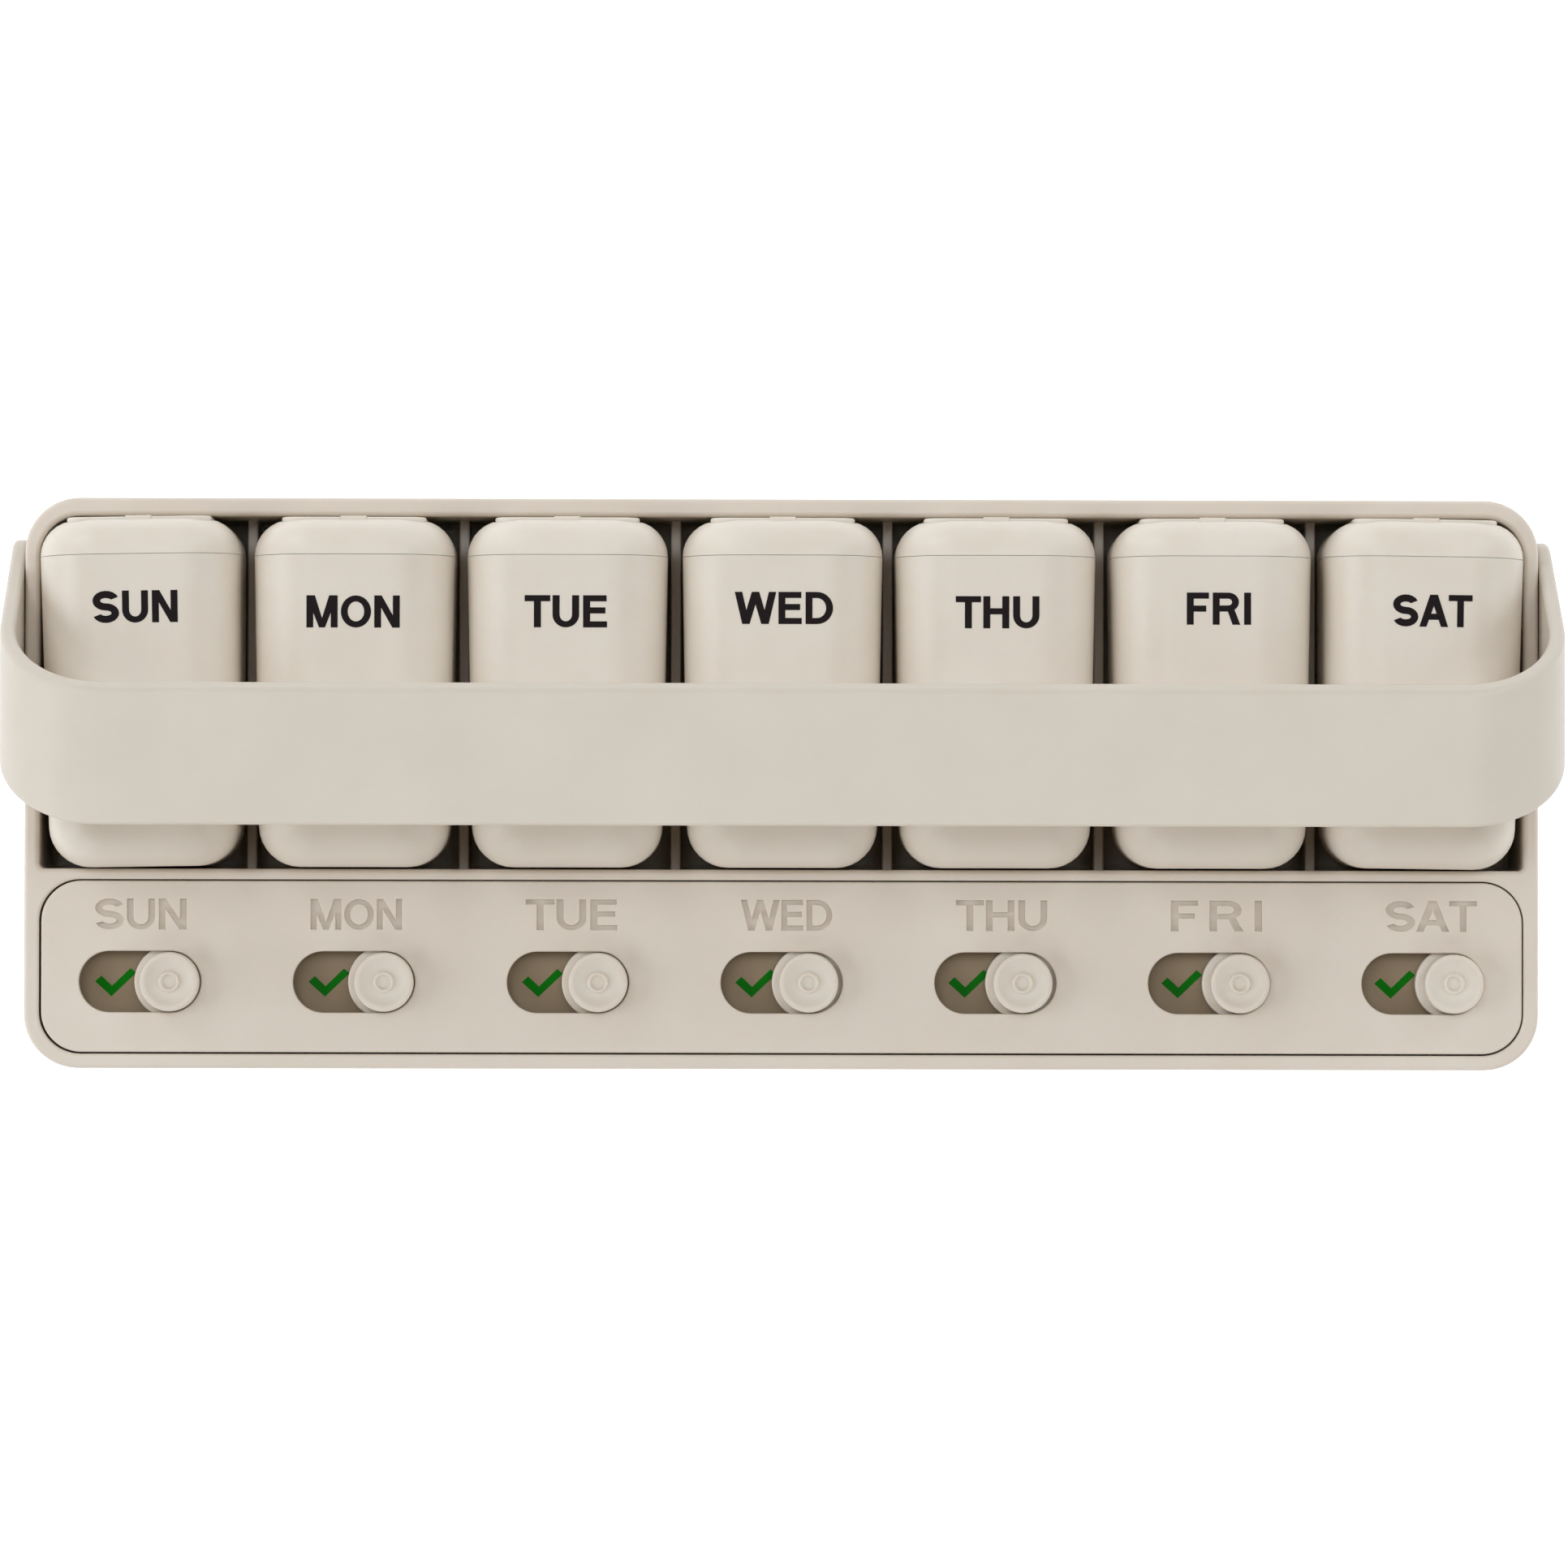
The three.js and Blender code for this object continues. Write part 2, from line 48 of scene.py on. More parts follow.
# Pods, standing on their closed end with the label face towards -Y
POD_WIDTH = 31.65 * MM
POD_DEPTH = 33.5 * MM
POD_CORNER = 9.8 * MM
POD_BODY_LENGTH = 49.05 * MM
POD_BASE_ROUND = 6.4 * MM
POD_DRAFT = 0.9 * MM
POD_WALL = 1.3 * MM
POD_TURN_DEGREES = {"sun": 0.95, "sat": -0.7}
POD_SHIFT = {"tue": -0.15 * MM, "thu": -0.12 * MM, "fri": 0.18 * MM}
PARTING_GAP = 0.05 * MM
PARTING_ROUND = 0.06 * MM
CAP_LENGTH = 5.75 * MM
CAP_END_WALL = 2.2 * MM
CAP_END_ROUND = 3.2 * MM
SPIGOT_LENGTH = 2.5 * MM
SPIGOT_WALL = 1 * MM
SPIGOT_CLEARANCE = 0.25 * MM

# Flip door in the end of each cap
DOOR_WIDTH = 22.8 * MM
DOOR_DEPTH = 23.4 * MM
DOOR_CORNER = 2.6 * MM
DOOR_THICKNESS = 1.2 * MM
DOOR_PROUD = 0.35 * MM
DOOR_EDGE_ROUND = 0.3 * MM
DOOR_CLEARANCE = 0.2 * MM
MOUTH_WIDTH = 17.6 * MM
MOUTH_DEPTH = 18 * MM
MOUTH_CORNER = 3 * MM
DOOR_LIP_DEPTH = 1.2 * MM
DOOR_LIP_WALL = 1 * MM
THUMB_LIP_WIDTH = 4.2 * MM
THUMB_LIP_REACH = 0.2 * MM
THUMB_LIP_RISE = 0.15 * MM
THUMB_LIP_OVERLAP = 1 * MM
THUMB_LIP_DEPTH = 0.3 * MM
THUMB_LIP_CORNER = 0.45 * MM

# Tray
DIVIDER = 1.6 * MM
DIVIDER_DROP = 12.5 * MM
DIVIDER_TOP_ROUND = 0.35 * MM
POD_SIDE_CLEARANCE = 0.3 * MM
BAY_END_CLEARANCE = 0.15 * MM
POD_FOOT_CLEARANCE = 0.3 * MM
POD_DOOR_CLEARANCE = 0.35 * MM
POD_FLOOR_CLEARANCE = 0.3 * MM
TRAY_HEIGHT = 26 * MM
TRAY_CORNER = 8.6 * MM
TRAY_FLOOR = 2.5 * MM
TRAY_TAPER = 0.3 * MM
TRAY_BASE_ROUND = 1.4 * MM
TRAY_RIM_ROUND = 0.7 * MM
SIDE_WALL = 2.39 * MM
REAR_WALL = 2.9 * MM
FRONT_WALL = 2.3 * MM
CROSSBAR = 1.7 * MM
POD_BAY_RIM_ROUND = 0.9 * MM
PANEL_BAY_RIM_ROUND = 0.5 * MM
BAY_FRONT_CORNER = 0.9 * MM
BAY_FLOOR_ROUND = 1.2 * MM
WELL_LEDGE = 1.6 * MM

# Tracker panel and the tick plate below it
PANEL_WIDTH = 27.2 * MM
PANEL_CORNER = 6.4 * MM
PANEL_GAP = 0.2 * MM
PANEL_SLACK_LEFT = 0.14 * MM
PANEL_SLACK_FRONT = 0.06 * MM
PANEL_DROP = 0.2 * MM
PANEL_THICKNESS = 1.3 * MM
PANEL_SKIRT = 1.2 * MM
PANEL_EDGE_ROUND = 0.35 * MM
SLOT_LENGTH = 19.3 * MM
SLOT_WIDTH = 9.7 * MM
SLOT_TO_FRONT = 11.2 * MM
SLOT_EDGE_ROUND = 0.25 * MM
TICK_PLATE_THICKNESS = 1.6 * MM
SEAT_GAP = 0.2 * MM

# Slider buttons
BUTTON_RADIUS = 4.68 * MM
BUTTON_RISE = 2.9 * MM
BUTTON_EDGE_ROUND = 0.45 * MM
BUTTON_RIM = 0.75 * MM
BUTTON_DISH = 0.7 * MM
BUTTON_RING_RADIUS = 1.38 * MM
BUTTON_RING_HALF_WIDTH = 0.36 * MM
BUTTON_RING_RISE = 0.42 * MM
FLANGE_RADIUS = 5.8 * MM
FLANGE_THICKNESS = 1.8 * MM
FLANGE_EDGE_ROUND = 0.3 * MM
FLANGE_CLEARANCE = 0.25 * MM
BUTTON_SHORTFALL = {"wed": 0.55 * MM, "thu": 0.55 * MM}

# Bail handle
HANDLE_GAP = 0.15 * MM
HANDLE_THICKNESS = 2.45 * MM
HANDLE_RISE = 30.3 * MM
HANDLE_BEND = 17 * MM
HANDLE_RAKE = math.radians(33.4)
BAND_WIDTH = 21.2 * MM
HANDLE_EDGE_ROUND = 0.8 * MM
PIVOT_FROM_REAR = 15.1 * MM
PIVOT_BELOW_RIM = 10.4 * MM
STUD_RADIUS = 3.4 * MM
STUD_CLEARANCE = 0.15 * MM
STUD_SHORT_OF_POCKET = 0.15 * MM

# Weekday names: inked on the pods, sunk into the tracker panel
INK_THICKNESS = 0.03 * MM
INK_FACET = 0.5 * MM
INK_FACET_CUTS = 3
POD_LABEL_FROM_MOUTH = 8.9 * MM
POD_LABEL_HEIGHT = 5.05 * MM
POD_LABEL_LENGTH = {
    "sun": 13.35 * MM, "mon": 14.65 * MM, "tue": 12.95 * MM, "wed": 15.45 * MM,
    "thu": 13.15 * MM, "fri": 10.1 * MM, "sat": 12.5 * MM,
}
POD_LABEL_STEM, POD_LABEL_BAR = 0.215, 0.19
# How far each printed name stands off its place, across and up
POD_LABEL_OFFSET = {
    "sun": (-0.3 * MM, 0.6 * MM), "mon": (0.2 * MM, -0.1 * MM), "tue": (-0.1 * MM, 0),
    "wed": (0.15 * MM, 0.6 * MM), "fri": (0.65 * MM, 0.65 * MM), "sat": (0.72 * MM, 0.4 * MM),
}
PANEL_LABEL_HEIGHT = 4.8 * MM
PANEL_LABEL_STEM, PANEL_LABEL_BAR = 0.185, 0.15
PANEL_LABEL_LENGTH = 14.4 * MM
PANEL_LABEL_PITCH = 34.06 * MM
PANEL_LABEL_SHIFT = 0.78 * MM
PANEL_LABEL_TO_SLOT = 10.7 * MM
PANEL_LABEL_DEPTH = 0.6 * MM
PANEL_LABEL_CHAMFER = 0.09 * MM
WIDEST_LETTERS = 1.28

# Tick sign, as its corner points from the slot's centre
TICK_OUTLINE = [
    (-7.35 * MM, 0), (-6.35 * MM, 0.9 * MM), (-4.65 * MM, -0.7 * MM),
    (-1.75 * MM, 2.1 * MM), (-0.85 * MM, 1.35 * MM), (-4.75 * MM, -2.35 * MM),
]
TICK_INK = 0.04 * MM

# How far a cutting solid runs past the surface it opens, and the least corner radius
OVERRUN = 1 * MM
SHARP_CORNER = 0.1 * MM

# Facets in a corner, a rounded end, a small edge, a turned shape and the handle's curves
CORNER_STEPS = 14
ROUND_STEPS = 8
EDGE_STEPS = 5
LATHE_STEPS = 96
BEND_STEPS = 28
END_STEPS = 24

# The angle in degrees from which an edge is sharp, wider on the dished button, and how much
# the normal of a large face outweighs a small one's, where 50 is even
SHARP_EDGE = 35
BUTTON_SHARP_EDGE = 50
LARGE_FACE_WEIGHT = 80

# Sizes that follow from the ones above
pod_pitch = POD_WIDTH + 2 * POD_SIDE_CLEARANCE + DIVIDER
pod_height = POD_BODY_LENGTH + PARTING_GAP + CAP_LENGTH
pod_reach = pod_height + DOOR_PROUD
bay_length = (len(DAYS) - 1) * pod_pitch + POD_WIDTH + 2 * BAY_END_CLEARANCE
pod_bay_width = pod_reach + POD_FOOT_CLEARANCE + POD_DOOR_CLEARANCE
panel_bay_width = PANEL_WIDTH + 2 * PANEL_GAP
panel_length = bay_length - 2 * PANEL_GAP
tray_length = bay_length + 2 * SIDE_WALL
tray_width = FRONT_WALL + panel_bay_width + CROSSBAR + pod_bay_width + REAR_WALL
pod_bay_front = tray_width / 2 - REAR_WALL - pod_bay_width
panel_bay_front = FRONT_WALL - tray_width / 2
panel_centre = panel_bay_front + panel_bay_width / 2
panel_top = TRAY_HEIGHT - PANEL_DROP
panel_underside = panel_top - PANEL_THICKNESS
flange_top = panel_underside - FLANGE_CLEARANCE
flange_underside = flange_top - FLANGE_THICKNESS
tick_plate_top = flange_underside - FLANGE_CLEARANCE
tick_plate_underside = tick_plate_top - TICK_PLATE_THICKNESS
well_top = tick_plate_underside - SEAT_GAP
pod_axis_height = TRAY_FLOOR + POD_FLOOR_CLEARANCE + POD_DEPTH / 2
slot_centre = panel_bay_front + PANEL_GAP + SLOT_TO_FRONT
button_top = panel_top + BUTTON_RISE
pivot_y = tray_width / 2 - PIVOT_FROM_REAR
pivot_z = TRAY_HEIGHT - PIVOT_BELOW_RIM


def day_index(day):
    return DAYS.index(day) - (len(DAYS) - 1) / 2


def slot_x(day):
    return day_index(day) * pod_pitch


# Materials

def linear(hex_colour):
    """sRGB hex to linear RGBA."""
    channels = [int(hex_colour[i:i + 2], 16) / 255 for i in (1, 3, 5)]
    curve = [c / 12.92 if c <= 0.04045 else ((c + 0.055) / 1.055) ** 2.4 for c in channels]
    return (*curve, 1)


def add_node(tree, kind, settings=None, links=None):
    """A node with its settings (sockets by name, then properties) and its input links."""
    node = tree.nodes.new(kind)
    for name, value in (settings or {}).items():
        if name in node.inputs:
            node.inputs[name].default_value = value
        else:
            setattr(node, name, value)
    for name, source in (links or {}).items():
        tree.links.new(source, node.inputs[name])
    return node


def empty_material(name):
    material = bpy.data.materials.new(name)
    material.use_nodes = True
    material.node_tree.nodes.clear()
    return material


def finish_material(material, surface):
    add_node(material.node_tree, "ShaderNodeOutputMaterial", links={"Surface": surface})
    return material


# Real sizes of the plastic's surface: its flow marks, the grain of its spark-eroded mould and
# how far light goes under it, for red, green and blue
FLOW_MOTTLE = 14 * MM
FLOW_SPREAD = (0.3, 0.7)
EROSION_GRAIN = 0.12 * MM
EROSION_RELIEF = 0.02 * MM
SCATTER_DEPTH = 1.2 * MM
SCATTER_REACH = (1, 0.55, 0.3)
PLASTIC_IOR = 1.5


def grained_finish(
    name, light, dark, rough_low, rough_high, bump=0.05, gloss_level=0.4, depth=0.2,
):
    """Moulded ABS, or ink dried on it: faint flow mottling, a spark-eroded grain, a satin
    gloss that varies, and a little light that goes some way under the surface."""
    material = empty_material(name)
    tree = material.node_tree
    place = add_node(tree, "ShaderNodeTexCoord").outputs["Object"]
    flow = add_node(tree, "ShaderNodeTexNoise", {
        "Scale": 1 / FLOW_MOTTLE, "Detail": 3, "Roughness": 0.55,
    }, {"Vector": place})
    tint = add_node(tree, "ShaderNodeValToRGB", links={"Fac": flow.outputs["Fac"]})
    for stop, position, colour in zip(tint.color_ramp.elements, FLOW_SPREAD, (dark, light)):
        stop.position = position
        stop.color = linear(colour)
    erosion = add_node(tree, "ShaderNodeTexNoise", {
        "Scale": 1 / EROSION_GRAIN, "Detail": 2, "Roughness": 0.6,
    }, {"Vector": place})
    gloss = add_node(tree, "ShaderNodeMapRange", {
        "From Min": FLOW_SPREAD[0], "From Max": FLOW_SPREAD[1],
        "To Min": rough_low, "To Max": rough_high,
    }, {"Value": flow.outputs["Fac"]})
    relief = add_node(tree, "ShaderNodeBump", {
        "Strength": bump, "Distance": EROSION_RELIEF,
    }, {"Height": erosion.outputs["Fac"]})
    shader = add_node(tree, "ShaderNodeBsdfPrincipled", {
        "IOR": PLASTIC_IOR, "Specular IOR Level": gloss_level, "Subsurface Weight": depth,
        "Subsurface Radius": SCATTER_REACH, "Subsurface Scale": SCATTER_DEPTH,
    }, {
        "Base Color": tint.outputs["Color"],
        "Roughness": gloss.outputs["Result"],
        "Normal": relief.outputs["Normal"],
    })
    return finish_material(material, shader.outputs["BSDF"])


# One satin ABS for the whole product, the pods' lightened as painted light and the handle's
# darkened as painted shade, and a darker matt one under the tracker panel, its darkness painted
# shade, so that the slots read as openings
TRAY_ABS = grained_finish("ABS_moulded_satin_tray", "#d5c9b9", "#d1c4b3", 0.42, 0.5)
PANEL_ABS = grained_finish("ABS_moulded_satin_panel", "#d4c8b8", "#d0c3b2", 0.42, 0.5)
# Painted shade: the plate's darker, browner colour stands in for the shade down in the slots
PLATE_ABS_PAINTED_SHADE = grained_finish("ABS_moulded_matt_plate_painted_shade", "#978367", "#907c60", 0.55, 0.65)
# Painted light: the pods' colour is lightened to make up for the handle's shadow on them
POD_ABS_PAINTED_LIGHT = grained_finish("ABS_moulded_satin_pod_painted_light", "#dcd1c1", "#d8ccbb", 0.36, 0.44)
# Painted shade: the handle's colour is darkened to make up for the fuller light it gets
HANDLE_ABS_PAINTED_SHADE = grained_finish("ABS_moulded_satin_handle_painted_shade", "#ccc1b1", "#c8bdac", 0.4, 0.48)
BUTTON_ABS = grained_finish("ABS_moulded_satin_button", "#d6cbbb", "#d2c6b5", 0.36, 0.44)
# Pad-printed inks: a thin dry film with a slight mottle
BLACK_INK = grained_finish(
    "pad_printed_ink_black", "#1d1414", "#181010", 0.6, 0.75,
    bump=0.03, gloss_level=0.12, depth=0,
)
GREEN_INK = grained_finish(
    "pad_printed_ink_green", "#007400", "#006800", 0.6, 0.75,
    bump=0.03, gloss_level=0.12, depth=0,
)


# Solids

def loft(rings):
    """A closed skin over rings of points, each ring anticlockwise about the way they advance."""
    skin = bmesh.new()
    levels = [[skin.verts.new(point) for point in ring] for ring in rings]
    for low, high in zip(levels, levels[1:]):
        for here in range(len(low)):
            after = (here + 1) % len(low)
            skin.faces.new((low[here], low[after], high[after], high[here]))
    skin.faces.new(reversed(levels[0]))
    skin.faces.new(levels[-1])
    return skin


def plan(length, width, radius, front=None):
    """A rounded rectangle, with another radius for its front corners where one is given."""
    front = radius if front is None else front
    return length, width, (radius, radius, front, front)


def inset_plan(shape, inset):
    length, width, radii = shape
    return length - 2 * inset, width - 2 * inset, tuple(radius - inset for radius in radii)


def ring_of(shape, height, inset=0):
    length, width, radii = shape
    ring = []
    for quarter, (side_x, side_y) in enumerate([(1, 1), (-1, 1), (-1, -1), (1, -1)]):
        radius = max(radii[quarter] - inset, SHARP_CORNER)
        for step in range(CORNER_STEPS + 1):
            angle = (quarter + step / CORNER_STEPS) * math.pi / 2
            ring.append(Vector((
                side_x * (length / 2 - inset - radius) + radius * math.cos(angle),
                side_y * (width / 2 - inset - radius) + radius * math.sin(angle),
                height,
            )))
    return ring


def quarter_round(radius, steps):
    """Heights and insets of a rounded end, from its flat end inwards."""
    if radius == 0:
        return [(0, 0)]
    turns = [step / steps * math.pi / 2 for step in range(steps + 1)]
    return [(radius * (1 - math.cos(turn)), radius * (1 - math.sin(turn))) for turn in turns]


def block(shape, low, high, low_round=0, high_round=0, taper=0, steps=EDGE_STEPS):
    """A block over a plan, with rounded ends and a taper that draws its low end in."""
    levels = [(low + rise, inset) for rise, inset in quarter_round(low_round, steps)]
    levels += [(high - rise, inset) for rise, inset in reversed(quarter_round(high_round, steps))]
    return loft([
        ring_of(shape, height, inset + taper * (high - height) / (high - low))
        for height, inset in levels
    ])


def flared_cut(shape, low, high, flare, low_round=0):
    """The space to cut away for a hole whose top edge is rounded over outwards."""
    levels = [(low + rise, inset) for rise, inset in quarter_round(low_round, EDGE_STEPS)]
    levels += [(high - inset, -rise) for rise, inset in quarter_round(flare, EDGE_STEPS)]
    levels.append((high + OVERRUN, -flare))
    return loft([ring_of(shape, height, inset) for height, inset in levels])


def side_cylinder(radius, length, x, y, z):
    turn = Matrix.Translation((x, y, z)) @ Matrix.Rotation(math.pi / 2, 4, "Y")
    solid = bmesh.new()
    bmesh.ops.create_cone(
        solid, cap_ends=True, segments=LATHE_STEPS,
        radius1=radius, radius2=radius, depth=length, matrix=turn,
    )
    return solid


def moved(solid, x=0, y=0, z=0):
    bmesh.ops.translate(solid, verts=solid.verts, vec=(x, y, z))
    return solid


def to_mesh(solid, name):
    bmesh.ops.recalc_face_normals(solid, faces=solid.faces)
    mesh = bpy.data.meshes.new(name)
    solid.to_mesh(mesh)
    solid.free()
    return mesh


def new_object(name, mesh):
    thing = bpy.data.objects.new(name, mesh)
    bpy.context.collection.objects.link(thing)
    return thing


def evaluated_mesh(thing):
    """The object's mesh with its modifiers worked in."""
    bpy.context.view_layer.update()
    source = thing.evaluated_get(bpy.context.evaluated_depsgraph_get())
    return bpy.data.meshes.new_from_object(source)


def combine(base, others, operation):
    """The base solid with the others cut from it or joined to it."""
    subject = new_object("subject", to_mesh(base, "subject"))
    tools = [new_object("tool", to_mesh(other, "tool")) for other in others]
    for tool in tools:
        modifier = subject.modifiers.new("bool", "BOOLEAN")
        modifier.operation = operation
        modifier.solver = "MANIFOLD"
        modifier.object = tool
    mesh = evaluated_mesh(subject)
    result = bmesh.new()
    result.from_mesh(mesh)
    for thing in [subject, *tools]:
        bpy.data.objects.remove(thing)
    bpy.data.meshes.remove(mesh)
    return result


def cut(base, *others):
    return combine(base, others, "DIFFERENCE")


def join(base, *others):
    return combine(base, others, "UNION")


def piece(name, solid, material, body, *nodes, matrix=None, slot=None, sharp_edge=SHARP_EDGE):
    """A finished piece: smooth over its rounds, riding on a body, in place of its CAD nodes."""
    if matrix:
        bmesh.ops.transform(solid, matrix=matrix, verts=solid.verts)
    thing = new_object(name, to_mesh(solid, name))
    thing.data.materials.append(material)
    thing.data.shade_smooth()
    thing.data.set_sharp_from_angle(angle=math.radians(sharp_edge))
    weighting = thing.modifiers.new("weighted_normals", "WEIGHTED_NORMAL")
    weighting.keep_sharp = True
    weighting.weight = LARGE_FACE_WEIGHT
    weighted = evaluated_mesh(thing)
    weighted.name = name
    thing.modifiers.clear()
    thing.data = weighted
    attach(thing, body)
    if nodes:
        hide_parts(*nodes)
    return thing


# Lettering: a plain grotesque, drawn for a cap height of 1 with a stem and a bar of its own

LETTER_WIDTH = {
    "A": 0.94, "D": 0.86, "E": 0.73, "F": 0.69, "H": 0.8, "I": 0.2, "M": 0.98,
    "N": 0.8, "O": 0.95, "R": 0.86, "S": 0.83, "T": 0.78, "U": 0.81, "W": 1.3,
}
SIDE_BEARING = {"A": 0, "O": 0.04, "S": 0.035, "T": 0.01, "W": 0.01}
STEM_BEARING = 0.06
CURVE_STEPS = 14
RING_OVERLAP_DEGREES = 5
LEAST_MITRE = 0.5


def upright(x, low, high, stem):
    return [(x, low), (x + stem, low), (x + stem, high), (x, high)]


def bar_of(left, right, low, bar):
    return [(left, low), (right, low), (right, low + bar), (left, low + bar)]


def slope(foot, head, foot_width, head_width, low=0, high=1):
    """A sloping stroke between its middle at the foot and its middle at the head."""
    return [
        (foot - foot_width / 2, low), (foot + foot_width / 2, low),
        (head + head_width / 2, high), (head - head_width / 2, high),
    ]


def bow(centre, outer, inner, start, stop):
    """Stroke round part of an ellipse, between two angles in degrees, as one outline."""
    turns = [
        math.radians(start + (stop - start) * step / CURVE_STEPS)
        for step in range(CURVE_STEPS + 1)
    ]

    def arc(radii, angles):
        return [
            (centre[0] + radii[0] * math.cos(a), centre[1] + radii[1] * math.sin(a))
            for a in angles
        ]

    return arc(outer, turns) + arc(inner, reversed(turns))


def letter_strokes(letter, stem, bar):
    """The letter's strokes as outlines that may overlap."""
    wide = LETTER_WIDTH[letter]
    right = wide - stem
    slant = 1.08 * stem
    if letter == "I":
        return [upright(0, 0, 1, stem)]
    if letter == "T":
        return [bar_of(0, wide, 1 - bar, bar), upright(right / 2, 0, 1, stem)]
    if letter == "E":
        return [
            upright(0, 0, 1, stem), bar_of(0, wide, 0, bar),
            bar_of(0, 0.93 * wide, 0.53 - bar / 2, bar), bar_of(0, 0.98 * wide, 1 - bar, bar),
        ]
    if letter == "F":
        return [
            upright(0, 0, 1, stem), bar_of(0, 0.88 * wide, 0.5 - bar / 2, bar),
            bar_of(0, wide, 1 - bar, bar),
        ]
    if letter == "H":
        return [
            upright(0, 0, 1, stem), upright(right, 0, 1, stem),
            bar_of(0, wide, 0.53 - bar / 2, bar),
        ]
    if letter == "N":
        return [
            upright(0, 0, 1, stem), upright(right, 0, 1, stem),
            slope(wide - slant / 2, slant / 2, slant, slant),
        ]
    if letter == "M":
        return [
            upright(0, 0, 1, stem), upright(right, 0, 1, stem),
            slope(wide / 2, 0.62 * stem, 0.85 * stem, 1.24 * stem),
            slope(wide / 2, wide - 0.62 * stem, 0.85 * stem, 1.24 * stem),
        ]
    if letter == "W":
        foot = 0.27 * wide
        return [
            slope(foot, slant / 2, slant, slant), slope(foot, wide / 2, slant, slant),
            slope(wide - foot, wide / 2, slant, slant),
            slope(wide - foot, wide - slant / 2, slant, slant),
        ]
    if letter == "A":
        return [
            slope(slant / 2, wide / 2, slant, 1.1 * slant),
            slope(wide - slant / 2, wide / 2, slant, 1.1 * slant),
            bar_of(0.2 * wide, 0.8 * wide, 0.22, bar),
        ]
    if letter == "U":
        bend = 0.4
        return [
            upright(0, bend, 1, stem), upright(right, bend, 1, stem),
            bow((wide / 2, bend), (wide / 2, bend), (wide / 2 - stem, bend - bar), 180, 360),
        ]
    if letter == "O":
        outer, inner = (wide / 2, 0.5), (wide / 2 - stem, 0.5 - bar)
        past = RING_OVERLAP_DEGREES
        return [bow((wide / 2, 0.5), outer, inner, a - past, a + 180 + past) for a in (0, 180)]
    if letter == "D":
        bend = 0.42 * wide
        return [
            upright(0, 0, 1, stem), bar_of(0, bend, 0, bar), bar_of(0, bend, 1 - bar, bar),
            bow((bend, 0.5), (wide - bend, 0.5), (right - bend, 0.5 - bar), -90, 90),
        ]
    if letter == "R":
        bend, foot = 0.56 * wide, 0.41
        middle = (1 + foot) / 2
        return [
            upright(0, 0, 1, stem), bar_of(0, bend, foot, bar), bar_of(0, bend, 1 - bar, bar),
            bow((bend, middle), (0.95 * wide - bend, 1 - middle),
                (0.95 * wide - stem - bend, 1 - middle - bar), -90, 90),
            slope(wide - 0.56 * stem, 0.64 * wide, 1.12 * stem, 1.06 * stem, high=foot + bar / 2),
        ]
    # S: two bows that meet in the middle
    spine = 1.18 * bar
    rise = (1 + spine) / 4
    outer, inner = (wide / 2, rise), (wide / 2 - 1.12 * stem, rise - spine)
    return [
        bow((wide / 2, 1 - rise), outer, inner, 22, 272),
        bow((wide / 2, rise), outer, inner, 92, -158),
    ]


def widened(outline, distance):
    """The outline moved outwards, each corner along the mean of its two edges' normals and at
    most twice as far as its edges."""
    points = [Vector(point) for point in outline]
    moved_points = []
    for before, here, after in zip(points[-1:] + points[:-1], points, points[1:] + points[:1]):
        normals = [Vector((edge.y, -edge.x)).normalized() for edge in (here - before, after - here)]
        mean = (normals[0] + normals[1]).normalized()
        moved_points.append(here + mean * distance / max(mean.dot(normals[0]), LEAST_MITRE))
    return moved_points


def prism(outline, depth, chamfer):
    """An outline's solid, half of its depth above the origin and half below. A chamfer
    widens it at the origin's level, so that a cut made with it has broken edges."""
    twice_area = sum(a[0] * b[1] - b[0] * a[1] for a, b in zip(outline, outline[1:] + outline[:1]))
    around = outline if twice_area > 0 else outline[::-1]
    levels = [(-depth / 2, 0), (depth / 2, 0)]
    if chamfer:
        levels = [(-depth / 2, 0), (-chamfer, 0), (0, chamfer), (depth / 2, chamfer)]
    return loft([[Vector((x, y, z)) for x, y in widened(around, wider)] for z, wider in levels])


def lettering(word, height, length, depth, stem, bar, chamfer=0):
    """A word as one solid about its centre, its face towards +Z. It is fitted to its length
    by the width of its letters, and where they would grow too wide by the space between them."""
    edges = [SIDE_BEARING.get(letter, STEM_BEARING) for letter in word]
    gaps = [a + b for a, b in zip(edges, edges[1:])]
    widths = [LETTER_WIDTH[letter] if letter != "I" else stem for letter in word]
    natural = sum(widths) + sum(gaps)
    stretch = min(length / height / natural, WIDEST_LETTERS)
    gaps = [gap + (length / height / stretch - natural) / len(gaps) for gap in gaps]
    strokes = []
    x = 0
    for letter, wide, gap in zip(word, widths, gaps + [0]):
        for outline in letter_strokes(letter, stem, bar):
            strokes.append([(x + px, py) for px, py in outline])
        x += wide + gap
    solids = []
    for outline in strokes:
        sized = [((px - x / 2) * stretch * height, (py - 0.5) * height) for px, py in outline]
        solids.append(prism(sized, depth, chamfer))
    return join(*solids)


# Tray

def dividers(front, width, top):
    walls = []
    for day in DAYS[1:]:
        wall = block(
            plan(DIVIDER, width + 2 * OVERRUN, SHARP_CORNER), OVERRUN, top,
            high_round=DIVIDER_TOP_ROUND,
        )
        walls.append(moved(wall, (day_index(day) - 0.5) * pod_pitch, front + width / 2))
    return walls


